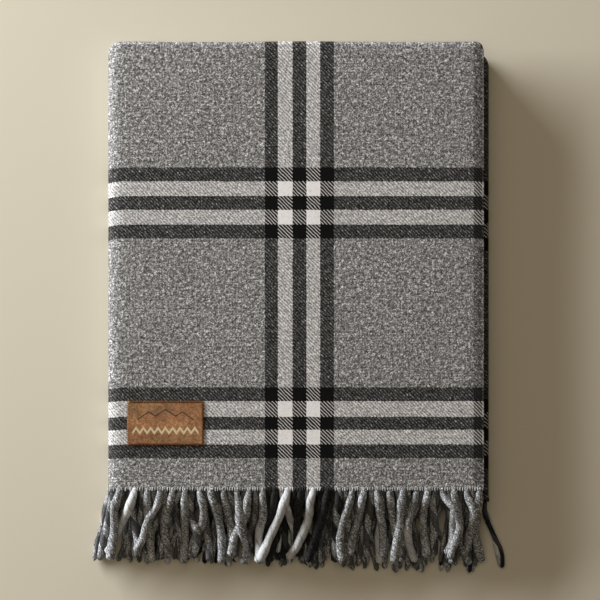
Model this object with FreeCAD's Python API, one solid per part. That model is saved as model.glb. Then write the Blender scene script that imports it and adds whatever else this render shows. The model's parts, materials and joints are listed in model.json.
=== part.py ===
"""Camp blanket: a fringed check wool blanket, folded in four along its length and in four across its width.

Frame: +Z up, millimetres. The folded blanket lies on its back. X runs across it, from the spine fold (-X)
to the open selvedges (+X), and Y along it, from the fringe (-Y) to the top fold (+Y). The origin is on the
floor, under the middle of the top panel's outline.

One cloth makes four panels of four plies. Seen from the fringe, from the bottom up:
    bottom panel        outer half of the lower leaf
    lower middle panel  inner half of the lower leaf, joined to the bottom panel by the right fold
    upper middle panel  inner half of the upper leaf, joined to the lower middle panel by the inner spine
    top panel           outer half of the upper leaf, joined to the bottom panel by the outer spine
The upper leaf opens like a book about the spine's axis.

In each panel the cloth runs from end A, up to the top fold, back down to the mid fold beside the fringe, up
to the top fold again and down to end B. A and B are the cloth's two fringed ends, and the plies from the
panel's A side inwards are A, B, and the two that the mid fold joins.
"""

import FreeCAD, Part
import math
import os

Vector = FreeCAD.Vector

# ---- Driving dimensions, mm ----
outline_width = 376.5  # top panel, from the spine's outermost line to the selvedge
outline_length = 447.0  # top panel, from the top fold to the cloth's end
ply_thickness = 2.2
ply_gap = 0.2
lower_leaf_overhang = 7.0  # how far the right fold stands out past the selvedges of the upper leaf
lower_leaf_slip = 12.0  # how far the lower leaf has slipped towards the fringe, at the right fold
mid_fold_setback = 1.5  # the mid fold lies this far behind the cloth's ends
leaf_clearance = 0.3  # the upper leaf's panels start this far from the spine's axis

fringe_length = 80.0
fringe_length_spread = 5.0  # strands are up to this much shorter
strand_diameter = 5.8
strand_root_length = 20.0  # over this length a strand grows from the ply's edge to its full diameter
strand_clearance = 0.3
strand_spare = 1.0  # a pitch holds two columns of strands, clear of each other, and this much more
root_gap = 0.1  # between a ply's end and its strands

label_width = 76.0
label_height = 44.0
label_thickness = 1.4
label_corner_radius = 1.2
label_edge_from_fringe = 44.5  # cloth's end to the label's lower edge
label_inset = 0.5  # from the start of the top panel, at the spine, to the label's left edge

stitch_pitch = 3.2
stitch_width = 0.7
stitch_height = 0.4
stitch_reach = 1.8  # how far a stitch runs in over the label
stitch_overhang = 0.5  # how far it stands outside the label's edge

motif_thickness = 0.25
peaks_width = 56.0
peaks_height = 10.0
peaks_stroke = 1.1
peaks_above_label_centre = 8.5
band_width = 66.0
band_height = 8.5
band_stroke = 3.4
band_teeth = 9
band_below_label_centre = 7.5

# ---- Worked out from them ----
PLIES_IN_PANEL = 4
ply_pitch = ply_thickness + ply_gap
half_ply = ply_thickness / 2
panel_thickness = PLIES_IN_PANEL * ply_pitch
floor_shift = -ply_gap / 2  # puts the lowest ply's face at z = 0
spine_radius = 2 * panel_thickness
hinge_z = spine_radius + floor_shift
top_z = 4 * panel_thickness - ply_gap / 2 + floor_shift

hinge_x = -outline_width / 2 + spine_radius
selvedge_x = outline_width / 2
upper_start_x = hinge_x + leaf_clearance
upper_flat = selvedge_x - hinge_x
lower_flat = upper_flat + lower_leaf_overhang - panel_thickness
right_fold_x = hinge_x + lower_flat
slip_per_mm = lower_leaf_slip / lower_flat

top_fold_y = outline_length / 2
end_y = -outline_length / 2

strand_radius = strand_diameter / 2
strand_pitch = 2 * (strand_diameter + strand_clearance) + strand_spare
strands_in_row = int(upper_flat // strand_pitch)
row_pitch = upper_flat / strands_in_row


def panel_middle(level):
    """The z of a panel's middle; level 0 is the bottom panel and 3 the top one."""
    return (level + 0.5) * panel_thickness + floor_shift


def ply_offset(ply):
    """How far a ply's middle is from its panel's middle, towards the A side; ply 0 is ply A."""
    return (1.5 - ply) * ply_pitch


def arc(centre_y, centre_n, radius, towards, start_n, end_n, place):
    """A half circle in the panel's section, from start_n to end_n, bulging towards +Y or -Y."""
    return Part.Arc(
        place(centre_y, start_n),
        place(centre_y + towards * radius, centre_n),
        place(centre_y, end_n),
    ).toShape()


def panel_section(x, level, a_side):
    """The four plies of a panel in the plane at x, as one face. a_side is 1 where side A faces up."""
    middle = panel_middle(level)

    def place(y, n):
        return Vector(x, y, middle + a_side * n)

    def line(y0, n0, y1, n1):
        return Part.LineSegment(place(y0, n0), place(y1, n1)).toShape()

    outer, inner = 1.5 * ply_pitch, 0.5 * ply_pitch
    top_y = top_fold_y - outer - half_ply
    mid_y = end_y + mid_fold_setback + inner + half_ply
    mid_n = -ply_pitch
    edges = [
        line(end_y, outer + half_ply, top_y, outer + half_ply),
        arc(top_y, 0, outer + half_ply, 1, outer + half_ply, -outer - half_ply, place),
        line(top_y, -outer - half_ply, mid_y, -outer - half_ply),
        arc(mid_y, mid_n, inner + half_ply, -1, -outer - half_ply, -inner + half_ply, place),
        line(mid_y, -inner + half_ply, top_y, -inner + half_ply),
        arc(top_y, 0, inner - half_ply, 1, -inner + half_ply, inner - half_ply, place),
        line(top_y, inner - half_ply, end_y, inner - half_ply),
        line(end_y, inner - half_ply, end_y, inner + half_ply),
        line(end_y, inner + half_ply, top_y, inner + half_ply),
        arc(top_y, 0, inner + half_ply, 1, inner + half_ply, -inner - half_ply, place),
        line(top_y, -inner - half_ply, mid_y, -inner - half_ply),
        arc(mid_y, mid_n, inner - half_ply, -1, -inner - half_ply, -outer + half_ply, place),
        line(mid_y, -outer + half_ply, top_y, -outer + half_ply),
        arc(top_y, 0, outer - half_ply, 1, -outer + half_ply, outer - half_ply, place),
        line(top_y, outer - half_ply, end_y, outer - half_ply),
        line(end_y, outer - half_ply, end_y, outer + half_ply),
    ]
    return Part.Face(Part.Wire(edges))


def flat_panel(level, a_side, start_x, end_x, slip):
    """A panel between two places along X, its far end slipped towards the fringe."""
    return panel_section(start_x, level, a_side).extrude(Vector(end_x - start_x, -slip, 0))


def turned_fold(x, slip, level, a_side, axis_z, towards):
    """The half turn that carries one panel's plies into the next one's, about an axis along Y."""
    section = panel_section(x, level, a_side)
    section.translate(Vector(0, -slip, 0))
    return section.revolve(Vector(x, 0, axis_z), Vector(0, towards, 0), 180)


def cloth_parts():
    right_axis_z = panel_thickness + floor_shift
    return {
        "cloth_panel_bottom": [flat_panel(0, -1, hinge_x, right_fold_x, lower_leaf_slip)],
        "cloth_panel_lower_middle": [flat_panel(1, 1, hinge_x, right_fold_x, lower_leaf_slip)],
        "cloth_fold_right": [turned_fold(right_fold_x, lower_leaf_slip, 0, -1, right_axis_z, -1)],
        "cloth_spine_outer": [turned_fold(hinge_x, 0, 0, -1, hinge_z, 1)],
        "cloth_spine_inner": [turned_fold(hinge_x, 0, 1, 1, hinge_z, 1)],
        "cloth_panel_upper_middle": [flat_panel(2, -1, upper_start_x, selvedge_x, 0)],
        "cloth_panel_top": [flat_panel(3, 1, upper_start_x, selvedge_x, 0)],
    }


def strand(root, lane_x, lane_z, length):
    """One twisted bundle: it leaves the ply's edge at root, reaches its lane and ends in a rounded tip."""
    full_y = root.y - strand_root_length
    tip_y = root.y - length
    sections = [
        (root.x, root.y, root.z, half_ply),
        (lane_x, full_y, lane_z, strand_radius),
        (lane_x, tip_y + strand_radius, lane_z, strand_radius),
        (lane_x, tip_y + 0.4 * strand_radius, lane_z, 0.8 * strand_radius),
        (lane_x, tip_y, lane_z, 0.3 * strand_radius),
    ]
    rings = [
        Part.Wire(Part.makeCircle(radius, Vector(x, y, z), Vector(0, 1, 0)))
        for x, y, z, radius in sections
    ]
    return Part.makeLoft(rings, True, True)


def strand_length(number, row):
    """Strands differ a little in length, in no regular order."""
    return fringe_length - fringe_length_spread * (0.5 + 0.5 * math.sin(2.4 * number + 1.7 * row))


def row_lanes(column):
    """The heights at which the strands of one column lie, spread evenly from the floor to the highest ply."""
    lowest = strand_radius + strand_clearance / 2
    highest = panel_middle(3) + ply_offset(1 - column)
    return [lowest + (highest - lowest) * level / 3 for level in range(4)]


def fringe_row(level, a_side, ply):
    """A panel's strands at the cloth's end A (ply 0) or B (ply 1), in one of each pitch's two columns."""
    column = ply if a_side < 0 else 1 - ply
    root_z = panel_middle(level) + a_side * ply_offset(ply)
    lane_z = row_lanes(column)[level]
    slip = slip_per_mm if level < 2 else 0.0
    limit = lower_flat if level < 2 else upper_flat
    strands = []
    for number in range(strands_in_row):
        along = (number + 0.25 + 0.5 * column) * row_pitch
        if along + strand_radius < limit:
            root = Vector(hinge_x + along, end_y - root_gap - slip * along, root_z)
            strands.append(strand(root, root.x, lane_z, strand_length(number, 2 * level + ply)))
    return strands


def turned_strands(x, slip, axis_z, towards, ring):
    """Strands round a fold along Y. ring holds degrees from the bottom, ply radius and lane radius."""
    strands = []
    for number, (angle, ply_radius, lane_radius) in enumerate(ring):
        side, up = math.sin(math.radians(angle)), -math.cos(math.radians(angle))
        lowest = strand_radius + strand_clearance / 2
        root = Vector(x + towards * ply_radius * side, end_y - root_gap - slip, axis_z + ply_radius * up)
        lane_z = max(axis_z + lane_radius * up, lowest)
        strands.append(strand(root, x + towards * lane_radius * side, lane_z, strand_length(number, 9)))
    return strands


def ring_angles(lane_radius):
    """As many strands as fit round a lane, clear of each other and of the flat panels' strands."""
    apart = 2 * math.degrees(math.asin((strand_diameter + strand_clearance) / (2 * lane_radius)))
    first = math.degrees(math.asin((strand_radius + strand_clearance) / lane_radius))
    steps = int((180 - 2 * first) / apart)
    return [first + number * (180 - 2 * first) / steps for number in range(steps + 1)]


def spine_ring():
    """Strands on the outer spine, ends A and B in turn, and on the inner spine's outer ply."""
    outer_lane = spine_radius - strand_radius
    inner_lane = panel_thickness - strand_radius
    ring = []
    for number, angle in enumerate(ring_angles(outer_lane)):
        ply = number % 2
        ring.append((angle, spine_radius - (ply + 0.5) * ply_pitch, outer_lane))
    return ring + [(angle, panel_thickness - 0.5 * ply_pitch, inner_lane) for angle in ring_angles(inner_lane)]


def right_ring():
    """Strands on the right fold's outer ply."""
    lane = panel_thickness - strand_radius
    return [(angle, panel_thickness - 0.5 * ply_pitch, lane) for angle in ring_angles(lane)]


def fringe_parts():
    right_axis_z = panel_thickness + floor_shift
    return {
        "fringe_bottom_end_a": fringe_row(0, -1, 0),
        "fringe_bottom_end_b": fringe_row(0, -1, 1),
        "fringe_lower_middle_end_b": fringe_row(1, 1, 1),
        "fringe_lower_middle_end_a": fringe_row(1, 1, 0),
        "fringe_upper_middle_end_a": fringe_row(2, -1, 0),
        "fringe_upper_middle_end_b": fringe_row(2, -1, 1),
        "fringe_top_end_b": fringe_row(3, 1, 1),
        "fringe_top_end_a": fringe_row(3, 1, 0),
        "fringe_fold_right": turned_strands(right_fold_x, lower_leaf_slip, right_axis_z, 1, right_ring()),
        "fringe_spine": turned_strands(hinge_x, 0, hinge_z, -1, spine_ring()),
    }


label_left = upper_start_x + label_inset
label_bottom = end_y + label_edge_from_fringe
label_centre = Vector(label_left + label_width / 2, label_bottom + label_height / 2, top_z)


def label_patch():
    box = Part.makeBox(label_width, label_height, label_thickness, Vector(label_left, label_bottom, top_z))
    corners = [e for e in box.Edges if abs(e.Vertexes[0].Z - e.Vertexes[1].Z) > label_thickness / 2]
    return box.makeFillet(label_corner_radius, corners)


def edge_stitch():
    """One overcast stitch at the origin: it runs in over a label whose edge is the Y axis, towards +X."""
    reach = stitch_reach + stitch_overhang
    outside = Vector(-stitch_overhang, -stitch_width / 2, 0)
    over = Part.makeBox(reach, stitch_width, stitch_height, outside + Vector(0, 0, label_thickness))
    down = Part.makeBox(stitch_overhang, stitch_width, label_thickness, outside)
    return over.fuse(down).removeSplitter()


def stitches_along(length, corner, direction):
    """Stitches along one edge of the label, which starts at corner and runs in direction, degrees from +Y."""
    clear = label_corner_radius + stitch_reach
    count = int((length - 2 * clear) // stitch_pitch) + 1
    first = (length - (count - 1) * stitch_pitch) / 2
    made = []
    for number in range(count):
        stitch = edge_stitch()
        stitch.translate(Vector(0, first + number * stitch_pitch, 0))
        stitch.rotate(Vector(0, 0, 0), Vector(0, 0, 1), direction)
        stitch.translate(corner)
        made.append(stitch)
    return made


def label_stitches():
    right, top = label_left + label_width, label_bottom + label_height
    return (
        stitches_along(label_height, Vector(label_left, label_bottom, top_z), 0)
        + stitches_along(label_width, Vector(right, label_bottom, top_z), 90)
        + stitches_along(label_height, Vector(right, top, top_z), 180)
        + stitches_along(label_width, Vector(label_left, top, top_z), 270)
    )


def zigzag(points, stroke, offset_y):
    """A zigzag line of even height on the label's face."""
    lower = [Vector(x, y - stroke / 2, 0) for x, y in points]
    upper = [Vector(x, y + stroke / 2, 0) for x, y in reversed(points)]
    outline = lower + upper
    face = Part.Face(Part.makePolygon(outline + outline[:1]))
    solid = face.extrude(Vector(0, 0, motif_thickness))
    solid.translate(label_centre + Vector(0, offset_y, label_thickness))
    return solid


def label_peaks():
    """A generic line of five hills."""
    half, rise = peaks_width / 2, peaks_height / 2
    points = [(-half, -rise), (-0.6 * half, 0.5 * rise), (-0.36 * half, -0.3 * rise), (0, rise)]
    points += [(-x, y) for x, y in reversed(points[:-1])]
    return zigzag(points, peaks_stroke, peaks_above_label_centre)


def label_band():
    """A generic sawtooth band."""
    rise = (band_height - band_stroke) / 2
    step = band_width / (2 * band_teeth)
    points = [(-band_width / 2 + n * step, rise if n % 2 else -rise) for n in range(2 * band_teeth + 1)]
    return zigzag(points, band_stroke, -band_below_label_centre)


def label_parts():
    return {
        "label_patch": [label_patch()],
        "label_stitches": label_stitches(),
        "label_peaks": [label_peaks()],
        "label_band": [label_band()],
    }


def export(name, solids):
    shape = solids[0] if len(solids) == 1 else Part.makeCompound(solids)
    if not shape.isValid():
        raise ValueError(f"{name} isn't valid")
    shape.exportStep(os.path.join("parts", name + ".step"))
    print(f"{name}: {len(solids)} solids, {shape.Volume / 1000:.1f} cm3")


parts = {**cloth_parts(), **fringe_parts(), **label_parts()}
os.makedirs("parts", exist_ok=True)
for part_name, part_solids in parts.items():
    export(part_name, part_solids)

# The cut size of the cloth, at the middle of each bend.
cut_width = 2 * upper_flat + 2 * lower_flat + math.pi * (1.5 + 0.5 + 0.5) * panel_thickness
ply_run = outline_length - 1.5 * ply_pitch - half_ply
cut_length = 4 * ply_run - 2 * (mid_fold_setback + 0.5 * ply_pitch + half_ply) + math.pi * 2.5 * ply_pitch
print(f"hinge axis at x {hinge_x:.2f}, z {hinge_z:.2f}; top of the cloth at z {top_z:.2f}")
print(f"cloth cut to {cut_width:.0f} by {cut_length:.0f} mm")
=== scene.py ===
"""Camp blanket: the folded check wool cloth, its twisted fringe and its suede label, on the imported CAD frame.

The cloth is one width by one length. (u, v) are places on it when flat, in metres: u across, from the
selvedge that ends the top panel, and v along, from end A. walk() folds u and v separately: u through the
panels, the spine and the right fold, v through the four plies of a panel. settle() then lays the ideal stack
down as real cloth lies.
"""

import json
import math

import bmesh
import bpy
import numpy as np
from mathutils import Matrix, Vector


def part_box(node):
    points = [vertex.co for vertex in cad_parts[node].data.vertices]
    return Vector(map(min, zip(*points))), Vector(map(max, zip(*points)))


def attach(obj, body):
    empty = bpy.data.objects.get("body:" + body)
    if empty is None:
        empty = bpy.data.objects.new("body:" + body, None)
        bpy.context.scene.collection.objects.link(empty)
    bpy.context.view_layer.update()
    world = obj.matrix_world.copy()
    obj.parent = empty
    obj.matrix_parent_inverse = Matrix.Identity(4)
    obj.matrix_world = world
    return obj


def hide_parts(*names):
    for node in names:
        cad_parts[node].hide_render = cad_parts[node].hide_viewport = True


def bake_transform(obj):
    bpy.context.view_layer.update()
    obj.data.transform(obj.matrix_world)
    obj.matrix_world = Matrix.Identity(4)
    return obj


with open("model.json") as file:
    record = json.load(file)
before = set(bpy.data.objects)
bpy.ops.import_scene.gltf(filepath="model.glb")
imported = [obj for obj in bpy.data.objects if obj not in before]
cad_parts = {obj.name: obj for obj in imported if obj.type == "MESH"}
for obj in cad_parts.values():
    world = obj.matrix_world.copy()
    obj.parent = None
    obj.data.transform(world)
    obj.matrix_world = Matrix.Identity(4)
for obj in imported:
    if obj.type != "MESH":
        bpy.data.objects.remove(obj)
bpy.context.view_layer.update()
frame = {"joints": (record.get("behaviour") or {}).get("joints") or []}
rng = np.random.default_rng(7)

# ---- Sizes, metres. Those of the stack come from the frame's nodes. ----
MM = 0.001
PLIES = 4
hinge_x, _, hinge_z = frame["joints"][0]["pos_m"]
bottom_low, bottom_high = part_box("cloth_panel_bottom")
top_low, top_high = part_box("cloth_panel_top")
label_low, label_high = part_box("label_patch")
panel_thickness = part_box("cloth_panel_lower_middle")[0].z - bottom_low.z
ply_pitch = panel_thickness / PLIES
ply_thickness = bottom_high.z - bottom_low.z - (PLIES - 1) * ply_pitch
leaf_gap = top_low.x - hinge_x
selvedge_x = top_high.x
end_y = top_low.y
top_fold_y = top_high.y
stack_top = top_high.z
right_fold_x = bottom_high.x
lower_flat = right_fold_x - hinge_x
upper_flat = selvedge_x - hinge_x
lower_slip = end_y - bottom_low.y
mid_fold_setback = 1.5 * MM

CELL = 7.0 * MM  # mesh spacing on the flats
TURN_STEPS = 10  # mesh steps round a fold

# ---- The check, on the flat cloth ----
WARP_PITCH = 0.92 * MM
WEFT_PITCH = 0.92 * MM
WARP_GROUP_FIRST = 184.6 * MM
WARP_GROUP_PITCH = 278.5 * MM
WEFT_GROUP_FIRST = 66.5 * MM
WEFT_GROUP_PITCH = 220.0 * MM
# From a group's centre to the outer edges of its dark, light and dark stripes.
WARP_GROUP_EDGES = (6.6 * MM, 21.2 * MM, 34.5 * MM)
WEFT_GROUP_EDGES = (6.6 * MM, 21.4 * MM, 35.4 * MM)
# From the selvedge to the ends of its grey edge and its dark band.
SELVEDGE_EDGE, SELVEDGE_BAND = 1.4 * MM, 10.2 * MM

# ---- Wool, as linear reflectance ----
BLACK, GREY, WHITE = 0.005, 0.225, 0.6
SELVEDGE, SELVEDGE_GREY = 0.055, 0.22
PALEST = 0.85
LIGHT_YARN, DARK_YARN = 0.45, 0.1  # a yarn is light above the first and dark below the second
FRINGE_BLACK = 0.014
FRINGE_GREY, SHADED = 0.195, 0.42  # the fringe's grey, and the share of it that the strands beneath keep, as painted shade
FRINGE_PALE = 0.62  # the one pale strand beside the hinge line

# ---- How the ideal stack settles ----
SPINE_POWER = 7.0  # of the superellipse that the spine's bends follow. A circle's is 2.
LEFT_REACH, RIGHT_REACH, FOLD_REACH = 20 * MM, 12 * MM, 12 * MM  # how far in from an edge it droops and thins
LEFT_DROOP, RIGHT_DROOP = (1.2, 1.6), (0.3, 0.6)  # mm near the fringe, and mm more near the top fold
LEFT_THINNING, RIGHT_THINNING, FOLD_THINNING = 0.035, 0.03, 0.02
CORNER = 7.5 * MM  # radius of the corners at the top fold
WAVE = 0.35  # mm that the top rises and falls, and that the top fold wanders
FULLNESS = 1.5 * MM  # how far the top fold bulges
WANDER_REACH, FULL_REACH = 80 * MM, 60 * MM  # how far in from the top fold it wanders and bulges

# ---- The fringe ----
strand_length = 78.0 * MM
strand_pitch = 12.8 * MM
STRAND_NODES = 27
TOP_RADIUS, SECOND_RADIUS, HIDDEN_RADIUS = 4.1 * MM, 3.5 * MM, 2.4 * MM
TOP_DEPTH, SECOND_DEPTH = 3 * MM, 10 * MM  # how far below the stack's top the first two rows' roots reach
SPLAY_FROM = 25 * MM  # how far in from the stack's sides the strands begin to splay
LEFT_SPLAY_RUN, RIGHT_SPLAY_RUN = 42 * MM, 35 * MM  # and over what distance they come to splay fully
LEFT_SPLAY, RIGHT_SPLAY = 0.26, 0.16  # radians
LEFT_LIMIT, RIGHT_LIMIT = hinge_x - 38 * MM, selvedge_x + 23 * MM  # how far out the fringe reaches
PALE_TIP = 34 * MM, 46 * MM  # from the root to where a pale tip begins, and to where it is palest
HANG_DEPTH, HANG_REACH = 42 * MM, 52 * MM  # how far a strand would fall, and over what run
SPREAD, PACKED = 0.9, 0.55  # of two strands' radii together, the least distance that thick and thin ones keep
THICK = 3.2 * MM
NEARBY = 9 * MM  # strands further off across the cloth can't touch
HIGHEST = 1.4  # radii that a strand may rise above its root
SETTLING_STEPS = 14
LOOP_PITCH = 2.5 * MM
LOOP_RADIUS = 0.52 * MM
# In mm from the cloth's end and mm over its face.
LOOP_PROFILE = ((2.2, 0.15), (1.0, 0.5), (-0.4, 0.55), (-1.3, 0.1), (-1.2, -0.9))

# ---- The label ----
PATCH_RISE, PATCH_EDGE = 1.15 * MM, 1.4 * MM  # the patch's height, and the width of its rounded edge
PRINT_UNDER, PRINT_TOP = 0.9 * MM, 1.19 * MM  # the print's underside and top, over the cloth
PEAKS_STROKE, BAND_STROKE = 1.1 * MM, 3.4 * MM
STITCH_PITCH, STITCH_RADIUS = 2.15 * MM, 0.34 * MM
STITCH_INSET, STITCH_OUTSIDE = 1.7 * MM, 0.5 * MM


# ======== Folding the cloth ========


def stations(size):
    """Distances along a straight leg: CELL apart, and closer together near both its ends."""
    close = np.array([1.0, 2.2, 3.7, 5.5]) * MM
    if size < 4 * close[-1]:
        return np.linspace(0, size, max(2, round(size / MM)))[1:]
    middle = np.linspace(CELL, size - CELL, round((size - 2 * CELL) / CELL) + 1)
    return np.concatenate([close, middle, size - close[::-1], [size]])


def walk(a, b, heading, legs, start=0.0):
    """Stations along a path: rows of (distance, a, b, heading). legs are (length, 0) or (radius, turn)."""
    rows = [(start, a, b, heading)]
    for size, turn in legs:
        if turn:
            side = math.copysign(size, turn)
            for _ in range(TURN_STEPS):
                a -= side * math.sin(heading)
                b += side * math.cos(heading)
                heading += turn / TURN_STEPS
                a += side * math.sin(heading)
                b -= side * math.cos(heading)
                start += size * abs(turn) / TURN_STEPS
                rows.append((start, a, b, heading))
        else:
            for run in stations(size):
                rows.append((start + run, a + run * math.cos(heading), b + run * math.sin(heading), heading))
            start, a, b, heading = rows[-1]
    return rows


def length_path():
    """The four plies of a panel, from end A to end B, in the panel's (y, n) section."""
    outer, inner = 1.5 * ply_pitch, 0.5 * ply_pitch
    top_y = top_fold_y - outer - ply_thickness / 2
    mid_y = end_y + mid_fold_setback + inner + ply_thickness / 2
    legs = [
        (top_y - end_y, 0),
        (outer, -math.pi),
        (top_y - mid_y, 0),
        (inner, -math.pi),
        (top_y - mid_y, 0),
        (inner, math.pi),
        (top_y - end_y, 0),
    ]
    return np.array(walk(end_y, outer, 0.0, legs))


def width_paths():
    """Each cloth piece's stations across the width, in the (x, z) section, from the top selvedge on."""
    spine, fold = 1.5 * panel_thickness, 0.5 * panel_thickness
    runs = [
        ("wool_top", [(upper_flat - leaf_gap, 0)]),
        ("wool_spine_outer", [(leaf_gap, 0), (spine, math.pi)]),
        ("wool_lower", [(lower_flat, 0), (fold, math.pi), (lower_flat, 0)]),
        ("wool_spine_inner", [(fold, -math.pi), (leaf_gap, 0)]),
        ("wool_upper_middle", [(upper_flat - leaf_gap, 0)]),
    ]
    last = (0.0, selvedge_x, hinge_z + spine, math.pi)
    paths = {}
    for name, legs in runs:
        distance, x, z, heading = last
        rows = walk(x, z, heading, legs, distance)
        paths[name] = np.array(rows)
        last = rows[-1]
    return paths


along = length_path()
across = width_paths()
cloth_length = along[-1, 0]
cloth_width = across["wool_upper_middle"][-1, 0]


def smooth(t):
    t = np.clip(t, 0.0, 1.0)
    return t * t * (3 - 2 * t)


def square_off(x, z):
    """The spine's bends are fuller than half circles: nearly flat above and below, upright at the side."""
    dx, dz = x - hinge_x, z - hinge_z
    size = np.hypot(dx, dz) + 1e-12
    fuller = (np.abs(dx / size) ** SPINE_POWER + np.abs(dz / size) ** SPINE_POWER) ** (-1 / SPINE_POWER)
    fuller = np.where(dx < 0, fuller, 1.0)
    return hinge_x + dx * fuller, hinge_z + dz * fuller


def settle(p):
    """Lays points of the ideal stack down as real cloth lies: slipped, thinner and drooping at its edges."""
    x, z = square_off(p[..., 0], p[..., 2])
    y = p[..., 1]
    height = np.clip(z / stack_top, 0, 1.2)
    lower = (z < hinge_z) & (x > hinge_x)
    slip = np.where(lower, lower_slip * (x - hinge_x) / lower_flat, 0.0)
    right_edge = np.where(lower, right_fold_x + panel_thickness, selvedge_x)
    left_edge = hinge_x - 2 * panel_thickness
    from_left, from_right, from_fold = x - left_edge, right_edge - x, top_fold_y - y
    near_left = np.clip(1 - from_left / LEFT_REACH, 0, 1) ** 2
    near_right = np.clip(1 - from_right / RIGHT_REACH, 0, 1) ** 2
    near_fold = smooth(1 - from_fold / FOLD_REACH)
    # The weft droops towards the fringe at both sides, more near the top fold, whose corners are rounded.
    up = np.clip((y - end_y) / (top_fold_y - end_y), 0, 1)
    droop = near_left * (LEFT_DROOP[0] + LEFT_DROOP[1] * up) * MM
    droop = droop + near_right * (RIGHT_DROOP[0] + RIGHT_DROOP[1] * up) * MM
    for distance in (from_left, from_right):
        inside = np.clip(CORNER - distance, 0, CORNER)
        droop = droop + near_fold * (CORNER - np.sqrt(CORNER**2 - inside**2))
    thinning = 1 - LEFT_THINNING * near_left - RIGHT_THINNING * near_right - FOLD_THINNING * near_fold
    waves = np.sin(19 * x + 7 * y + 0.6) * np.sin(15 * y - 5 * x + 1.9) + 0.5 * np.sin(44 * x - 13 * y + 2.0)
    wander = np.sin(31 * x + 1.2) * WAVE * MM * smooth(1 - from_fold / WANDER_REACH)
    full = FULLNESS * smooth(1 - from_fold / FULL_REACH)
    out = np.empty_like(p)
    out[..., 0] = x
    out[..., 1] = y - slip - droop + wander + full
    out[..., 2] = z * thinning + WAVE * MM * height * waves
    return out


def cloth_points(u_rows, v_rows, offset):
    """Points of the grid u_rows by v_rows, at a distance from the cloth's middle towards its A-side face."""
    _, y, n, turn = v_rows.T
    y = y - offset * np.sin(turn)
    n = n + offset * np.cos(turn)
    _, x, z, heading = u_rows.T
    p = np.empty((len(u_rows), len(v_rows), 3))
    p[..., 0] = x[:, None] + n[None, :] * np.sin(heading)[:, None]
    p[..., 1] = y[None, :]
    p[..., 2] = z[:, None] - n[None, :] * np.cos(heading)[:, None]
    return settle(p)


def grid_quads(rows, columns, first):
    """Quads of a grid of vertices numbered from first."""
    corner = first + np.arange(rows - 1)[:, None] * columns + np.arange(columns - 1)[None, :]
    corner = corner.ravel()
    return np.stack([corner, corner + 1, corner + columns + 1, corner + columns], axis=1)


def add_object(name, data):
    made = bpy.data.objects.new(name, data)
    bpy.context.scene.collection.objects.link(made)
    return made


def shade_smooth(mesh, smoothly=True):
    mesh.polygons.foreach_set("use_smooth", np.full(len(mesh.polygons), smoothly))


def new_mesh(name, points, quads):
    mesh = bpy.data.meshes.new(name)
    mesh.from_pydata(points.tolist(), [], quads.tolist())
    mesh.update()
    shade_smooth(mesh)
    return add_object(name, mesh)


def set_uv(mesh, name, per_vertex):
    layer = mesh.uv_layers.new(name=name)
    corners = np.empty(len(mesh.loops), np.int32)
    mesh.loops.foreach_get("vertex_index", corners)
    layer.uv.foreach_set("vector", per_vertex[corners].astype(np.float32).ravel())


def make_cloth(name):
    """One closed piece of the cloth: its two faces, joined round the border."""
    u_rows, v_rows = across[name], along
    nu, nv = len(u_rows), len(v_rows)
    face = cloth_points(u_rows, v_rows, ply_thickness / 2).reshape(-1, 3)
    back = cloth_points(u_rows, v_rows, -ply_thickness / 2).reshape(-1, 3)
    count = nu * nv
    ring = np.concatenate(
        [
            np.arange(nv - 1),
            np.arange(nu - 1) * nv + nv - 1,
            (nu - 1) * nv + np.arange(nv - 1, 0, -1),
            np.arange(nu - 1, 0, -1) * nv,
        ]
    )
    following = np.roll(ring, -1)
    border = np.stack([ring, ring + count, following + count, following], axis=1)
    quads = np.concatenate([grid_quads(nu, nv, 0), grid_quads(nu, nv, count)[:, ::-1], border])
    piece = new_mesh(name, np.concatenate([face, back]), quads)
    if signed_volume(piece.data) < 0:
        piece.data.flip_normals()
    sharpen(piece.data, np.concatenate([ring, ring + count]))
    uv = np.stack(np.broadcast_arrays(u_rows[:, 0][:, None], v_rows[:, 0][None, :]), axis=-1).reshape(-1, 2)
    set_uv(piece.data, "OFBake", bake_layout(uv, u_rows, nv))
    uv[:, 0] = np.repeat(pattern_distance(name), nv)
    set_uv(piece.data, "cloth", np.concatenate([uv, uv]))
    return piece


def pattern_distance(name):
    """Where each station lies in the pattern. The spine's outside is longer than the cloth's middle there."""
    rows = across[name]
    if name != "wool_spine_outer":
        return rows[:, 0]
    return rows[0, 0] + run_along(cloth_points(rows, along[:1], ply_thickness / 2)[:, 0])


def sharpen(mesh, border):
    """Makes the edges between border vertices sharp, so that the faces' shading stops at the border."""
    on_border = np.zeros(len(mesh.vertices), bool)
    on_border[border] = True
    ends = np.empty(len(mesh.edges) * 2, np.int32)
    mesh.edges.foreach_get("vertices", ends)
    sharp = on_border[ends.reshape(-1, 2)].all(axis=1)
    mesh.attributes.new("sharp_edge", "BOOLEAN", "EDGE").data.foreach_set("value", sharp)


def signed_volume(mesh):
    points = np.empty(len(mesh.vertices) * 3)
    mesh.vertices.foreach_get("co", points)
    points = points.reshape(-1, 3)
    corners = np.empty(len(mesh.loops), np.int32)
    mesh.loops.foreach_get("vertex_index", corners)
    a, b, c, d = (points[corners.reshape(-1, 4)[:, k]] for k in range(4))
    return float(np.sum(np.cross(a, b) * c) + np.sum(np.cross(a, c) * d))


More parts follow.
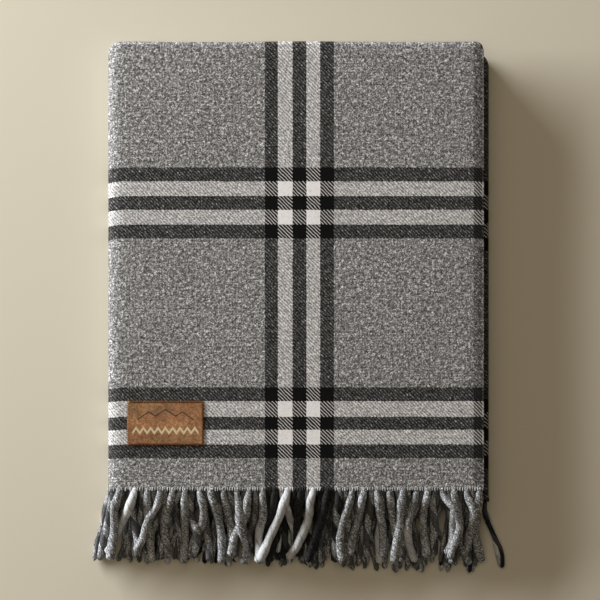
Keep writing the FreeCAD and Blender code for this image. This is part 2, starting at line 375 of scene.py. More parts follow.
def bake_layout(uv, u_rows, nv):
    """The map that colours are baked to: ply A's face, which shows, gets most of it, and the rest a strip."""
    u = (uv[:, 0] - u_rows[0, 0]) / (u_rows[-1, 0] - u_rows[0, 0])
    v = uv[:, 1]
    shown = along[round_turn_end(), 0]
    wide = 0.86
    in_view = v <= shown + 1e-9
    main = np.stack([0.005 + (wide - 0.01) * u, 0.005 + 0.99 * v / shown], axis=1)
    rest = np.stack([wide + 0.06 * u, 0.005 + 0.99 * v / cloth_length], axis=1)
    face = np.where(in_view[:, None], main, rest)
    back = rest + np.array([0.075, 0.0])
    return np.concatenate([face, back])


def round_turn_end():
    """The station where the cloth has turned round the top fold for the first time."""
    return int(np.argmax(along[:, 3] <= -math.pi + 1e-6))


# ======== Materials ========


class Shader:
    """Builds a node material from maths on sockets and numbers."""

    def __init__(self, name):
        self.material = bpy.data.materials.new(name)
        self.material.use_nodes = True
        self.tree = self.material.node_tree
        self.bsdf = self.tree.nodes["Principled BSDF"]

    def node(self, kind, **settings):
        made = self.tree.nodes.new(kind)
        for key, value in settings.items():
            setattr(made, key, value)
        return made

    def put(self, socket, value):
        if isinstance(value, bpy.types.NodeSocket):
            self.tree.links.new(value, socket)
        else:
            socket.default_value = value

    def math(self, operation, *values):
        made = self.node("ShaderNodeMath", operation=operation)
        for socket, value in zip(made.inputs, values):
            self.put(socket, value)
        return made.outputs[0]

    def add(self, a, b):
        return self.math("ADD", a, b)

    def subtract(self, a, b):
        return self.math("SUBTRACT", a, b)

    def multiply(self, a, b):
        return self.math("MULTIPLY", a, b)

    def swing(self, field, middle, amount):
        """How far field stands off its middle, times amount."""
        return self.multiply(self.subtract(field, middle), amount)

    def mix(self, factor, a, b):
        """a where factor is 0 and b where it is 1."""
        made = self.node("ShaderNodeMix", data_type="FLOAT", clamp_factor=True)
        for key, value in (("Factor", factor), ("A", a), ("B", b)):
            self.put(made.inputs[key], value)
        return made.outputs[0]

    def step(self, value, low, high):
        """0 below low, 1 above high, smooth between."""
        made = self.node("ShaderNodeMapRange", interpolation_type="SMOOTHSTEP")
        for key, socket_value in (("Value", value), ("From Min", low), ("From Max", high)):
            self.put(made.inputs[key], socket_value)
        return made.outputs[0]

    def vector(self, x, y, z=0.0):
        made = self.node("ShaderNodeCombineXYZ")
        for socket, value in zip(made.inputs, (x, y, z)):
            self.put(socket, value)
        return made.outputs[0]

    def noise(self, vector, scale, detail=2.0, roughness=0.5):
        made = self.node("ShaderNodeTexNoise")
        settings = (("Vector", vector), ("Scale", scale), ("Detail", detail), ("Roughness", roughness))
        for key, value in settings:
            self.put(made.inputs[key], value)
        return made.outputs["Fac"]

    def uv(self, name):
        split = self.node("ShaderNodeSeparateXYZ")
        self.put(split.inputs[0], self.node("ShaderNodeUVMap", uv_map=name).outputs[0])
        return split.outputs[0], split.outputs[1]

    def attribute(self, name):
        return self.node("ShaderNodeAttribute", attribute_name=name).outputs["Fac"]

    def tint(self, value, red, green, blue):
        made = self.node("ShaderNodeCombineColor")
        for socket, share in zip(made.inputs, (red, green, blue)):
            self.put(socket, self.multiply(value, share))
        return made.outputs[0]

    def bump(self, height, strength, distance):
        made = self.node("ShaderNodeBump")
        for key, value in (("Height", height), ("Strength", strength), ("Distance", distance)):
            self.put(made.inputs[key], value)
        self.put(self.bsdf.inputs["Normal"], made.outputs[0])

    def set(self, **values):
        for key, value in values.items():
            self.put(self.bsdf.inputs[key.replace("_", " ")], value)


def stripe_tone(s, place, first, pitch, edges):
    """The wool's tone at a place across a set of stripe groups: grey, with dark, light and dark stripes."""
    from_first = s.subtract(place, first)
    from_centre = s.math("ABSOLUTE", s.math("WRAP", from_first, pitch / 2, -pitch / 2))
    dark_centre = s.math("LESS_THAN", from_centre, edges[0])
    light = s.math("LESS_THAN", from_centre, edges[1])
    group = s.math("LESS_THAN", from_centre, edges[2])
    tone = s.mix(group, GREY, BLACK)
    tone = s.mix(light, tone, WHITE)
    return s.mix(dark_centre, tone, BLACK)


def curls(s, vector, scale):
    """Thin curling lines: 1 on a line, falling to 0 beside it."""
    from_line = s.math("ABSOLUTE", s.subtract(s.noise(vector, scale, 1.0, 0.4), 0.5))
    return s.subtract(1.0, s.step(from_line, 0.0, 0.07))


def twill_material():
    """2/2 twill: where a warp and a weft yarn cross, one lies on top, and its fibres blur into the other."""
    s = Shader("wool_twill")
    u, v = s.uv("cloth")
    wobble = s.noise(s.vector(u, v), 170.0, 3.0)
    wobble_2 = s.noise(s.vector(v, u, 0.3), 170.0, 3.0)
    i = s.add(s.math("DIVIDE", u, WARP_PITCH), s.math("MULTIPLY_ADD", wobble, 1.8, -0.9))
    j = s.add(s.math("DIVIDE", v, WEFT_PITCH), s.math("MULTIPLY_ADD", wobble_2, 1.8, -0.9))
    warp, weft = s.math("FLOOR", i), s.math("FLOOR", j)
    phase = s.math("FLOORED_MODULO", s.subtract(warp, weft), 4.0)
    warp_up = s.math("LESS_THAN", phase, 1.5)

    warp_place = s.multiply(s.add(warp, 0.5), WARP_PITCH)
    weft_place = s.multiply(s.add(weft, 0.5), WEFT_PITCH)
    warp_tone = stripe_tone(s, warp_place, WARP_GROUP_FIRST, WARP_GROUP_PITCH, WARP_GROUP_EDGES)
    weft_tone = stripe_tone(s, weft_place, WEFT_GROUP_FIRST, WEFT_GROUP_PITCH, WEFT_GROUP_EDGES)
    mirrored = s.math("MINIMUM", warp_place, s.subtract(cloth_width, warp_place))
    band = s.math("LESS_THAN", mirrored, SELVEDGE_BAND)
    edge = s.math("LESS_THAN", mirrored, SELVEDGE_EDGE)
    warp_tone = s.mix(edge, s.mix(band, warp_tone, SELVEDGE), SELVEDGE_GREY)

    over = s.mix(warp_up, weft_tone, warp_tone)
    under = s.mix(warp_up, warp_tone, weft_tone)
    lighter, darker = s.math("MAXIMUM", over, under), s.math("MINIMUM", over, under)
    both_white = s.math("GREATER_THAN", darker, LIGHT_YARN)
    with_light = s.math("GREATER_THAN", lighter, LIGHT_YARN)
    stark = s.multiply(with_light, s.math("LESS_THAN", darker, DARK_YARN))
    blur = s.mix(stark, s.mix(with_light, 0.3, 0.16), 0.07)
    tone = s.math("POWER", over, s.subtract(1.0, blur))
    tone = s.multiply(tone, s.math("POWER", under, blur))

    # Painted highlight and shade: in the check squares of a light and a dark yarn, the twill's diagonal ridges
    # are painted lighter along their crowns and darker between them.
    diagonal = s.math("WRAP", s.subtract(i, s.add(j, 0.5)), 2.0, -2.0)
    from_warp = s.math("ABSOLUTE", diagonal)
    from_ridge = s.mix(warp_up, s.subtract(2.0, from_warp), from_warp)
    ridge_light_and_shade = s.math("MULTIPLY_ADD", s.math("MINIMUM", from_ridge, 1.0), -1.35, 1.5)
    tone = s.multiply(tone, s.mix(both_white, s.mix(stark, 1.0, ridge_light_and_shade), 1.45))

    # Heather: dark and pale fibres lie along each yarn, with curls of fuzz over them.
    off_grey = [s.math("ABSOLUTE", s.subtract(yarn, GREY)) for yarn in (over, under)]
    grey_share = s.subtract(1.0, s.step(s.math("MINIMUM", *off_grey), 0.05, 0.2))
    plain = s.subtract(1.0, s.step(s.math("MAXIMUM", *off_grey), 0.05, 0.2))
    heather = s.multiply(grey_share, s.mix(with_light, 1.0, 0.5))
    finely, coarsely = 760.0, 460.0
    warp_fibres = s.vector(s.multiply(u, finely), s.multiply(v, coarsely))
    weft_fibres = s.vector(s.multiply(u, coarsely), s.multiply(v, finely), 9.0)
    fibres = s.mix(warp_up, s.noise(weft_fibres, 1.0, 1.0, 0.6), s.noise(warp_fibres, 1.0, 1.0, 0.6))
    clumps = s.noise(s.vector(u, v, 5.0), 300.0, 1.0)
    pale = curls(s, s.vector(u, v, 2.0), 340.0)
    dark = curls(s, s.vector(u, v, 7.0), 370.0)
    shade = s.swing(fibres, 0.5, s.mix(heather, 0.8, 4.8))
    shade = s.add(shade, s.swing(clumps, 0.5, s.mix(heather, 0.4, 2.8)))
    shade = s.add(shade, s.swing(pale, 0.3, s.mix(heather, 0.15, 0.9)))
    shade = s.subtract(shade, s.swing(dark, 0.3, s.mix(heather, 0.15, 0.7)))
    shade = s.add(shade, s.multiply(grey_share, s.mix(plain, 0.12, -0.08)))
    tone = s.multiply(tone, s.math("EXPONENT", shade))
    tone = s.math("MINIMUM", tone, PALEST)
    s.set(Base_Color=s.tint(tone, 1.0, 0.985, 0.98), Roughness=1.0, Sheen_Weight=0.02, Sheen_Roughness=0.6)
    s.set(Specular_IOR_Level=0.05)

    # Relief: each yarn is round across, and each float dips where it goes under.
    across_warp = s.math("SINE", s.multiply(s.math("FRACT", i), math.pi))
    across_weft = s.math("SINE", s.multiply(s.math("FRACT", j), math.pi))
    crown = s.math("POWER", s.mix(warp_up, across_weft, across_warp), 0.6)
    height = s.add(crown, s.multiply(fibres, 1.2))
    s.bump(height, 0.4, 0.25 * MM)
    return s.material


def fringe_material():
    """Twisted wool: two plies of their own tones wind round each strand, with heather along the twist and
    painted shade in the groove between the plies.
    """
    s = Shader("wool_fringe")
    turn, distance = s.uv("strand")
    angle = s.multiply(turn, 2 * math.pi)
    ply = s.math("SINE", angle)
    tone = s.mix(s.step(ply, -0.15, 0.15), s.attribute("tone_a"), s.attribute("tone_b"))
    run = s.add(s.multiply(distance, 860.0), s.attribute("number"))
    turns = s.vector(s.multiply(s.math("COSINE", angle), 4.4), s.multiply(ply, 4.4), run)
    fibres = s.noise(turns, 1.1, 1.0, 0.6)
    clumps = s.noise(turns, 0.55, 1.0)
    flecks = s.step(s.noise(turns, 0.8, 1.0), 0.6, 0.66)
    pale_place = s.add(distance, s.multiply(ply, 4 * MM))
    pale = s.multiply(s.attribute("pale"), s.step(pale_place, *PALE_TIP))
    tone = s.mix(pale, tone, 0.5)
    # Painted shade: the groove between the two plies is darkened to half its tone.
    groove_shade = s.subtract(1.0, s.step(s.math("ABSOLUTE", ply), 0.0, 0.3))
    tone = s.multiply(tone, s.mix(groove_shade, 1.0, 0.5))
    off_grey = s.math("ABSOLUTE", s.subtract(tone, FRINGE_GREY))
    grey_share = s.subtract(1.0, s.step(off_grey, 0.05, 0.14))
    shade = s.swing(fibres, 0.5, s.mix(grey_share, 0.9, 3.6))
    shade = s.add(shade, s.swing(clumps, 0.5, s.mix(grey_share, 0.6, 2.6)))
    tone = s.multiply(tone, s.math("EXPONENT", shade))
    tone = s.add(tone, s.multiply(flecks, s.mix(grey_share, 0.05, 0.7)))
    tone = s.math("MINIMUM", tone, PALEST)
    s.set(Base_Color=s.tint(tone, 0.965, 0.99, 1.02), Roughness=1.0, Sheen_Weight=0.04, Sheen_Roughness=0.6)
    s.set(Specular_IOR_Level=0.08)
    s.bump(fibres, 0.6, 0.6 * MM)
    return s.material


def suede_material():
    """Brushed suede: a fine nap, with broader dull and reddish patches."""
    s = Shader("label_suede")
    place = s.node("ShaderNodeTexCoord").outputs["Object"]
    nap = s.noise(place, 500.0, 3.0, 0.7)
    patches = s.noise(place, 55.0, 3.0, 0.6)
    broad = s.noise(place, 22.0, 2.0)
    tone = s.math("EXPONENT", s.swing(nap, 0.5, 2.6))
    tone = s.multiply(tone, s.math("EXPONENT", s.swing(patches, 0.5, 2.0)))
    red = s.multiply(s.mix(s.step(broad, 0.35, 0.65), 0.9, 1.12), 0.262)
    colour = s.tint(tone, red, 0.14, 0.064)
    s.set(Base_Color=colour, Roughness=0.9, Sheen_Weight=0.1, Specular_IOR_Level=0.2)
    s.bump(s.add(nap, s.multiply(patches, 0.5)), 0.5, 0.25 * MM)
    return s.material


def speckled_material(name, colour, amount, scale):
    """A plain dye with fine unevenness, for thread and print."""
    s = Shader(name)
    place = s.node("ShaderNodeTexCoord").outputs["Object"]
    grain = s.noise(place, scale, 3.0, 0.65)
    tone = s.math("EXPONENT", s.swing(grain, 0.5, amount))
    s.set(Base_Color=s.tint(tone, *colour), Roughness=0.85, Specular_IOR_Level=0.2)
    s.bump(grain, 0.4, 0.2 * MM)
    return s.material


# ======== Fringe ========


def tone_at(u):
    """The warp's tone at a place across the cloth, as the fringe shows it."""
    from_centre = abs((u - WARP_GROUP_FIRST + WARP_GROUP_PITCH / 2) % WARP_GROUP_PITCH - WARP_GROUP_PITCH / 2)
    if from_centre < WARP_GROUP_EDGES[0]:
        return FRINGE_BLACK
    if from_centre < WARP_GROUP_EDGES[1]:
        return WHITE
    if from_centre < WARP_GROUP_EDGES[2]:
        return FRINGE_BLACK
    return FRINGE_GREY


def piece_at(u):
    return next(key for key, path in across.items() if u <= path[-1, 0] + 1e-9)


def station_at(u):
    rows = np.concatenate([across[name] for name in across])
    return np.array([np.interp(u, rows[:, 0], rows[:, k]) for k in range(4)])


def strand_roots():
    """Every strand's root, piece, tones and radius. They lie a pitch apart across the cloth, at both ends."""
    strands = []
    stations_u = np.concatenate([across[name][:, 0] for name in across])
    pattern_u = np.concatenate([pattern_distance(name) for name in across])
    count = int(cloth_width // strand_pitch)
    margin = (cloth_width - (count - 1) * strand_pitch) / 2
    for end, v_row in enumerate((along[0], along[-1])):
        for number in range(count):
            u = margin + (number + 0.22 * (2 * end - 1) + rng.normal(0, 0.05)) * strand_pitch
            root = cloth_points(station_at(u)[None, :], v_row[None, :], 0.0)[0, 0]
            place = np.interp(u, stations_u, pattern_u)
            tone = tone_at(place)
            other = tone_at(place + 0.45 * strand_pitch) if rng.random() < 0.2 else tone
            depth = stack_top - root[2]
            pale = 1.0 if tone == FRINGE_GREY and rng.random() < 0.13 else 0.0
            if depth > TOP_DEPTH:
                # Painted shade: the strands beneath the top row are darkened in colour, standing in for the
                # shade between the strands.
                painted_shade_kept = SHADED if tone == FRINGE_GREY else 0.5
                tone = painted_shade_kept * tone + (0.0 if tone == FRINGE_GREY else (1 - painted_shade_kept) * SHADED * FRINGE_GREY)
            elif end == 0 and 0 < upper_flat - u < 0.9 * strand_pitch:
                # The one strand of the top row beside the hinge line is pale.
                tone = other = FRINGE_PALE
            rows = (TOP_DEPTH, TOP_RADIUS), (SECOND_DEPTH, SECOND_RADIUS), (math.inf, HIDDEN_RADIUS)
            radius = next(size for lowest, size in rows if depth < lowest)
            strands.append(
                {
                    "root": root,
                    "piece": piece_at(u),
                    "tones": (tone * rng.uniform(0.8, 1.2), other * rng.uniform(0.8, 1.2)),
                    "pale": pale,
                    "radius": radius * rng.uniform(0.93, 1.07),
                }
            )
    return strands


def natural_line(strand):
    """A strand's line seen from above: straight at first, then waving, and splaying at the stack's sides."""
    run = np.linspace(0, strand_length * rng.uniform(0.9, 1.03), STRAND_NODES)
    x0 = strand["root"][0]
    left = np.clip((hinge_x + SPLAY_FROM - x0) / LEFT_SPLAY_RUN, 0, 1)
    right = np.clip((x0 - selvedge_x + SPLAY_FROM) / RIGHT_SPLAY_RUN, 0, 1)
    lean = rng.normal(-0.07, 0.14) - LEFT_SPLAY * left + RIGHT_SPLAY * right
    if min(strand["tones"]) > 0.4 and strand["radius"] > 0.93 * TOP_RADIUS:
        lean = -0.4  # the light strands of the top row all lean to the left
    heading = lean + rng.normal(0, 0.26) * np.sin(run / (rng.uniform(13, 22) * MM) + rng.uniform(0, 6.28))
    heading += rng.normal(0, 0.10) * np.sin(run / (rng.uniform(5, 8) * MM) + rng.uniform(0, 6.28))
    heading *= smooth(run / (14 * MM))
    step = np.diff(run)
    x = x0 + np.concatenate([[0], np.cumsum(step * np.sin(heading[1:]))])
    y = strand["root"][1] + 1.5 * MM - np.concatenate([[0], np.cumsum(step * np.cos(heading[1:]))])
    share = (run / run[-1]) ** 2
    x += share * max(0, LEFT_LIMIT + strand["radius"] - x.min())
    x -= share * max(0, x.max() - RIGHT_LIMIT + strand["radius"])
    return run, x, y


def lay_fringe(strands):
    """Lays the strands one after another, from the lowest up, each over those that lie under it."""
    lines = [None] * len(strands)
    heights = np.array([strand["root"][2] for strand in strands]) + rng.normal(0, 0.8 * MM, len(strands))
    laid = np.empty((0, 4))
    for number in np.argsort(heights):
        strand = strands[number]
        run, x, y = natural_line(strand)
        radius = strand["radius"]
        support = np.full(STRAND_NODES, 0.9 * radius)
        near = laid[(laid[:, 0] > x.min() - NEARBY) & (laid[:, 0] < x.max() + NEARBY)]
        if len(near):
            gap = np.hypot(x[:, None] - near[None, :, 0], y[:, None] - near[None, :, 1])
            touch = (SPREAD if radius > THICK else PACKED) * (radius + near[:, 3])[None, :]
            lift = near[None, :, 2] + np.sqrt(np.clip(touch**2 - gap**2, 0, None))
            support = np.maximum(support, np.where(gap < touch, lift, 0).max(axis=1))
        root_z = strand["root"][2]
        hanging = root_z - HANG_DEPTH * (1 - np.exp(-((run / HANG_REACH) ** 1.7)))
        z = np.maximum(hanging, support)
        held = smooth(1 - run / (9 * MM))
        for _ in range(SETTLING_STEPS):
            z[1:-1] = 0.25 * z[:-2] + 0.5 * z[1:-1] + 0.25 * z[2:]
            z[-1] = 0.5 * z[-1] + 0.5 * z[-2]
            z = np.maximum(z, support - 0.1 * radius)
            z = z + (root_z - z) * held
        z = np.minimum(z, root_z + HIGHEST * radius)
        lines[number] = np.stack([x, y, z], axis=1)
        middles = (lines[number][1:] + lines[number][:-1]) / 2
        points = np.concatenate([lines[number], middles])
        laid = np.concatenate([laid, np.column_stack([points, np.full(len(points), radius)])])
    return lines


def spline(points, samples):
    """A smooth line through points, with samples points on it."""
    count = len(points)
    t = np.linspace(0, count - 1, samples)
    k = np.clip(t.astype(int), 0, count - 2)
    f = (t - k)[:, None]
    padded = np.concatenate([[2 * points[0] - points[1]], points, [2 * points[-1] - points[-2]]])
    a, b, c, d = padded[k], padded[k + 1], padded[k + 2], padded[k + 3]
    return 0.5 * (2 * b + (c - a) * f + (2 * a - 5 * b + 4 * c - d) * f**2 + (3 * b - a - 3 * c + d) * f**3)


def run_along(line):
    return np.concatenate([[0], np.cumsum(np.linalg.norm(np.diff(line, axis=0), axis=1))])


def tube(line, across_size, up_size, sides, twist, first_turn, rough):
    """The surface round a line: (points, uv), with uv the turn about the line and the distance along it."""
    forward = np.gradient(line, axis=0)
    forward /= np.linalg.norm(forward, axis=1)[:, None]
    side = np.cross(forward, np.array([0.0, 0.0, 1.0]))
    side /= np.maximum(np.linalg.norm(side, axis=1), 1e-9)[:, None]
    up = np.cross(side, forward)
    distance = run_along(line)
    angle = np.linspace(0, 2 * math.pi, sides, endpoint=False)
    points = line[:, None, :] + side[:, None, :] * (rough * across_size[:, None] * np.cos(angle))[..., None]
    points = points + up[:, None, :] * (rough * up_size[:, None] * np.sin(angle))[..., None]
    turn = angle[None, :] / (2 * math.pi) - twist * distance[:, None] + first_turn
    uv = np.stack([turn, np.broadcast_to(distance[:, None], turn.shape)], axis=-1)
    return points, uv


def strand_tube(points, radius, seed):
    """A strand's surface. It is a little thinner at its root and has a blunt, uneven tip."""
    local = np.random.default_rng(seed)
    rings, sides = 36, 12
    line = spline(points, rings)
    distance = run_along(line)
    left = distance[-1] - distance
    taper = np.sqrt(np.clip(1 - np.clip(1 - left / (0.8 * radius), 0, 1) ** 2, 0.03, 1))
    lumps = 1 + 0.035 * np.sin(distance * local.uniform(180, 320) + local.uniform(0, 6))
    lumps = lumps * (1 + 0.06 * np.sin(distance * local.uniform(60, 120) + local.uniform(0, 6)))
    at_root = smooth(1 - distance / (16 * MM))
    size = radius * lumps * taper * (1 - 0.3 * at_root)
    twist = local.uniform(0.8, 1.2) / (30 * MM)
    first_turn = local.uniform(0, 1)
    turn = np.arange(sides)[None, :] / sides - twist * distance[:, None] + first_turn
    rough = 0.97 + 0.08 * np.abs(np.sin(2 * math.pi * turn)) + local.normal(0, 0.014, (rings, sides))
    return tube(line, size, size * (1 - 0.3 * at_root), sides, twist, first_turn, rough)


def loop_tubes(name):
    """The small loops of yarn that bind the cloth's ends between the strands: (tube, tone)."""
    path = across[name]
    made = []
    local = np.random.default_rng(500 + len(name))
    count = int((path[-1, 0] - path[0, 0]) // LOOP_PITCH)
    places = path[0, 0] + (np.arange(count) + 0.5) * LOOP_PITCH
    rows = np.array([station_at(u) for u in places])
    for end_row, side in ((along[0], 1), (along[-1], -1)):
        lines = []
        for dy, rise in LOOP_PROFILE:
            row = end_row.copy()
            row[1] += dy * MM
            offset = side * (ply_thickness / 2 + rise * MM) if rise > -0.5 else -side * 0.4 * ply_thickness
            lines.append(cloth_points(rows, row[None, :], offset)[:, 0])
        lines = np.stack(lines, axis=1)
        for u, line in zip(places, lines):
            line = line + local.normal(0, 0.22 * MM, line.shape)
            line = spline(line, 7)
            size = np.full(len(line), LOOP_RADIUS * local.uniform(0.8, 1.2))
            tone = min(0.7, tone_at(u) * local.uniform(1.0, 3.4))
            sides = 5
            made.append((tube(line, size, size, sides, 0.0, 0.0, np.ones((len(line), sides))), tone))
    return made


def tubes_mesh(name, tubes):
    """One mesh of closed tubes. Each comes as (points, uv), (tone, tone), pale and number."""
    vertices, quads, caps, quad_uv, cap_uv, values = [], [], [], [], [], []
    first = 0
    for (points, uv), tones, pale, number in tubes:
        rings, sides, _ = points.shape
        vertices.append(points.reshape(-1, 3))
        here = np.arange(rings * sides).reshape(rings, sides)
        after = np.roll(here, -1, axis=1)
        quads.append(first + np.stack([here[:-1], after[:-1], after[1:], here[1:]], axis=-1).reshape(-1, 4))
        turned = uv + np.array([1 / sides, 0.0])
        quad_uv.append(np.stack([uv[:-1], turned[:-1], turned[1:], uv[1:]], axis=2).reshape(-1, 2))
        for ring in (here[0][::-1], here[-1]):
            caps.append((first + ring).tolist())
            cap_uv.append(uv.reshape(-1, 2)[ring])
        values.append(np.tile((*tones, pale, number), (rings * sides, 1)))
        first += rings * sides
    mesh = bpy.data.meshes.new(name)
    mesh.from_pydata(np.concatenate(vertices).tolist(), [], np.concatenate(quads).tolist() + caps)
    mesh.update()
    shade_smooth(mesh)
    layer = mesh.uv_layers.new(name="strand")
    layer.uv.foreach_set("vector", np.concatenate(quad_uv + cap_uv).astype(np.float32).ravel())
    values = np.concatenate(values)
    for key, column in zip(("tone_a", "tone_b", "pale", "number"), values.T):
        mesh.attributes.new(key, "FLOAT", "POINT").data.foreach_set("value", column.astype(np.float32))
    return add_object(name, mesh)


# ======== Label ========


def on_cloth(points):
    """Points given by x, y and height over the ideal stack, laid on the settled cloth."""
    points = np.array(points, float)
    ground = points.copy()
    ground[:, 2] = stack_top
    laid = settle(ground)
    laid[:, 2] += points[:, 2]
    return laid


def make_patch():
    """The suede patch: a thin cushion-edged slab that follows the cloth."""
    nx, ny = 60, 36
    centre = (label_low + label_high) / 2
    half = (label_high - label_low) / 2
    grid = []
    for i in range(nx + 1):
        for j in range(ny + 1):
            s, t = 2 * i / nx - 1, 2 * j / ny - 1
            edge = min((1 - abs(s)) * half.x, (1 - abs(t)) * half.y)
            rise = PATCH_RISE * (1 - max(0.0, 1 - edge / PATCH_EDGE) ** 2 * 0.45)
            grid.append((centre.x + s * half.x, centre.y + t * half.y, rise))
    count = len(grid)
    under = [(x, y, -0.1 * MM) for x, y, _ in grid]
    nv = ny + 1
    ring = list(range(ny)) + [i * nv + ny for i in range(nx)]
    ring += [nx * nv + j for j in range(ny, 0, -1)] + [i * nv for i in range(nx, 0, -1)]
    border = [(r, r + count, n + count, n) for r, n in zip(ring, ring[1:] + ring[:1])]
    faces = grid_quads(nx + 1, nv, 0), grid_quads(nx + 1, nv, count)[:, ::-1]
    quads = np.concatenate([*faces, np.array(border)])
    piece = new_mesh("suede_patch", on_cloth(grid + under), quads)
    if signed_volume(piece.data) < 0:
        piece.data.flip_normals()
    return piece


def make_ribbon(name, line, width, low, high):
    """A flat strip along a line on the label, as a closed solid."""
    points, quads = [], []
    for x, y in line:
        for dy, dz in ((-width / 2, low), (width / 2, low), (width / 2, high), (-width / 2, high)):
            points.append((x, y + dy, dz))
    for k in range(len(line) - 1):
        for c in range(4):
            d = (c + 1) % 4
            quads.append((4 * k + c, 4 * k + d, 4 * k + 4 + d, 4 * k + 4 + c))
    last = 4 * (len(line) - 1)
    quads += [(3, 2, 1, 0), (last, last + 1, last + 2, last + 3)]
    piece = new_mesh(name, on_cloth(points), np.array(quads))
    shade_smooth(piece.data, False)
    return piece


def node_zigzag(node, stroke, shape, steps):
    """A zigzag through a CAD node's box: shape lists (share of the width, share of the height)."""
    low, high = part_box(node)
    line = []
    for (s0, t0), (s1, t1) in zip(shape, shape[1:]):
        for k in range(steps):
            line.append((s0 + (s1 - s0) * k / steps, t0 + (t1 - t0) * k / steps))
    line.append(shape[-1])
    rise = high.y - low.y - stroke
    return [(low.x + s * (high.x - low.x), low.y + stroke / 2 + t * rise) for s, t in line]


def make_print():
    """A line of hills and a sawtooth band, which take the place of the label's two lines."""
    peaks = [(0, 0), (0.2, 0.75), (0.32, 0.35), (0.5, 1), (0.68, 0.35), (0.8, 0.75), (1, 0)]
    band = [(k / 18, k % 2) for k in range(19)]
    made = []
    for name, node, stroke, shape, steps in (
        ("print_peaks", "label_peaks", PEAKS_STROKE, peaks, 4),
        ("print_band", "label_band", BAND_STROKE, band, 3),
    ):
        line = node_zigzag(node, stroke, shape, steps)
        made.append(make_ribbon(name, line, stroke, PRINT_UNDER, PRINT_TOP))
    return made


def make_stitches():
    """Overcast stitches round the patch: each runs from outside its edge in over it."""
    mesh = bmesh.new()
    low, high = label_low, label_high
    sides = [
        ((low.x, low.y), (high.x, low.y), (0, 1)),
        ((high.x, low.y), (high.x, high.y), (-1, 0)),
        ((high.x, high.y), (low.x, high.y), (0, -1)),
        ((low.x, high.y), (low.x, low.y), (1, 0)),
    ]
    for (x0, y0), (x1, y1), (ix, iy) in sides:
        length = math.hypot(x1 - x0, y1 - y0)
        count = int((length - 2 * STITCH_INSET) // STITCH_PITCH)
        dx, dy = (x1 - x0) / length, (y1 - y0) / length
        for k in range(count + 1):
            run = (length - count * STITCH_PITCH) / 2 + k * STITCH_PITCH
            x, y = x0 + dx * run, y0 + dy * run
            lean = 0.35 * STITCH_PITCH
            profile = [
                (-STITCH_OUTSIDE, 0.0, -lean),
                (-STITCH_OUTSIDE * 0.8, 0.8, -0.8 * lean),
                (0.1 * MM, 1.3, -0.4 * lean),
                (0.6 * STITCH_INSET, 1.45, 0.3 * lean),
                (STITCH_INSET, 1.05, lean),
            ]
            line = [(x + ix * i + dx * s, y + iy * i + dy * s, h * MM) for i, h, s in profile]
            add_thread(mesh, on_cloth(line), STITCH_RADIUS)
    data = bpy.data.meshes.new("stitching")
    mesh.to_mesh(data)
    mesh.free()
    shade_smooth(data)
    return add_object("stitching", data)


def add_thread(mesh, line, radius):
    """A thin round thread along a line, into a bmesh."""
    sides = 6
    rings = []
    for k, point in enumerate(line):
        ahead = Vector(line[min(k + 1, len(line) - 1)]) - Vector(line[max(k - 1, 0)])
        ahead.normalize()
        side = ahead.cross(Vector((0, 0, 1)))
        side = side.normalized() if side.length > 1e-4 else Vector((1, 0, 0))
        up = side.cross(ahead)
        size = radius * (0.6 if k in (0, len(line) - 1) else 1.0)
        ring = []
        for n in range(sides):
            angle = 2 * math.pi * n / sides
            out = math.cos(angle) * side + math.sin(angle) * up
            ring.append(mesh.verts.new(Vector(point) + size * out))
        rings.append(ring)
    for ring, after in zip(rings, rings[1:]):
        for n in range(sides):
            m = (n + 1) % sides
            mesh.faces.new((ring[n], ring[m], after[m], after[n]))
    mesh.faces.new(rings[0][::-1])
    mesh.faces.new(rings[-1])


# ======== The scene ========


def give(piece, material):
    piece.data.materials.append(material)


def build_cloth(material):
    pieces = {name: make_cloth(name) for name in across}
    for piece in pieces.values():
        give(piece, material)
    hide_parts("cloth_panel_top")
    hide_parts("cloth_spine_outer")
    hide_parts("cloth_panel_bottom", "cloth_panel_lower_middle", "cloth_fold_right")
    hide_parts("cloth_spine_inner")
    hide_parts("cloth_panel_upper_middle")
    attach(pieces["wool_top"], "upper_leaf")
    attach(pieces["wool_upper_middle"], "upper_leaf")
    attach(pieces["wool_lower"], "lower_leaf")
    return pieces


def bend_spine(piece):
    """Bakes the piece's world transform into its mesh."""
    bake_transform(piece)


def build_fringe(material):
    strands = strand_roots()
    lines = lay_fringe(strands)
    group_of = {name: "strands_upper" for name in ("wool_top", "wool_upper_middle")}
    group_of.update({name: "strands_spine" for name in ("wool_spine_outer", "wool_spine_inner")})
    group_of["wool_lower"] = "strands_lower"
    tubes = {"strands_upper": [], "strands_lower": [], "strands_spine": []}
    for number, (strand, line) in enumerate(zip(strands, lines)):
        surface = strand_tube(line, strand["radius"], 1000 + number)
        tubes[group_of[strand["piece"]]].append((surface, strand["tones"], strand["pale"], 13.0 * number))
    for name in across:
        for number, (surface, tone) in enumerate(loop_tubes(name)):
            tubes[group_of[name]].append((surface, (tone, tone), 0.0, 3.7 * number))
    pieces = {name: tubes_mesh(name, members) for name, members in tubes.items()}
    for piece in pieces.values():
        give(piece, material)
    upper = [f"fringe_{panel}_end_{end}" for panel in ("top", "upper_middle") for end in "ab"]
    lower = [f"fringe_{panel}_end_{end}" for panel in ("bottom", "lower_middle") for end in "ab"]
    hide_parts(*upper)
    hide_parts(*lower, "fringe_fold_right")
    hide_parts("fringe_spine")
    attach(pieces["strands_upper"], "upper_leaf")
    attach(pieces["strands_lower"], "lower_leaf")
    return pieces


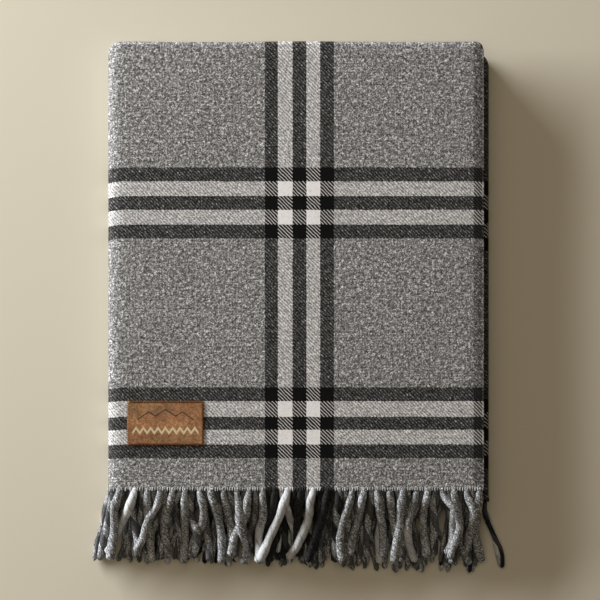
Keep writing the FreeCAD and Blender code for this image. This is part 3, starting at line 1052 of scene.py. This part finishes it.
def build_label():
    patch = make_patch()
    give(patch, suede_material())
    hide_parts("label_patch")
    peaks, band = make_print()
    give(peaks, speckled_material("print_dark", (0.035, 0.026, 0.022), 1.0, 700.0))
    give(band, speckled_material("print_cream", (0.62, 0.50, 0.30), 0.7, 900.0))
    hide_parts("label_peaks")
    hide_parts("label_band")
    stitches = make_stitches()
    give(stitches, speckled_material("label_thread", (0.12, 0.042, 0.012), 0.8, 1500.0))
    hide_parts("label_stitches")
    pieces = [patch, peaks, band, stitches]
    for piece in pieces:
        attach(piece, "upper_leaf")
    return pieces


def build_floor():
    mesh = bpy.data.meshes.new("floor")
    half = 6.0
    corners = [(-half, -half, 0), (half, -half, 0), (half, half, 0), (-half, half, 0)]
    mesh.from_pydata(corners, [], [(0, 1, 2, 3)])
    floor = add_object("floor", mesh)
    s = Shader("floor")
    s.set(Base_Color=(0.65, 0.603, 0.492, 1), Roughness=0.9, Specular_IOR_Level=0.1)
    mesh.materials.append(s.material)


def area_light(name, place, target, size, power, colour):
    data = bpy.data.lights.new(name, "AREA")
    data.shape = "RECTANGLE"
    data.size, data.size_y = size
    data.energy = power
    data.color = colour
    lamp = add_object(name, data)
    lamp.location = place
    lamp.rotation_euler = (Vector(target) - Vector(place)).to_track_quat("-Z", "Y").to_euler()


def build_lights():
    centre = (0.0, -0.03, 0.0)
    area_light("key", (-2.3, 1.4, 0.72), centre, (2.6, 0.5), 192, (0.96, 0.978, 1.0))
    area_light("fill", (-0.3, 0.3, 2.3), centre, (2.0, 2.0), 12, (1.0, 0.86, 0.68))
    world = bpy.data.worlds.new("world")
    world.use_nodes = True
    background = world.node_tree.nodes["Background"]
    background.inputs["Color"].default_value = (1.0, 0.86, 0.66, 1)
    background.inputs["Strength"].default_value = 0.11
    bpy.context.scene.world = world


def build_camera():
    """Straight above. The view spans 0.6 m at the top of the stack."""
    distance, span = 2.4, 0.6
    data = bpy.data.cameras.new("camera")
    data.sensor_width = 36
    data.lens = data.sensor_width * distance / span
    data.clip_end = 50
    camera = add_object("camera", data)
    camera.location = (4.3 * MM, -34.0 * MM, stack_top + distance)
    bpy.context.scene.camera = camera


build_camera()
build_lights()
build_floor()
cloth = build_cloth(twill_material())
fringe = build_fringe(fringe_material())
label = build_label()
bend_spine(cloth["wool_spine_outer"])
bend_spine(cloth["wool_spine_inner"])
bend_spine(fringe["strands_spine"])
bpy.context.scene.view_settings.view_transform = "Standard"
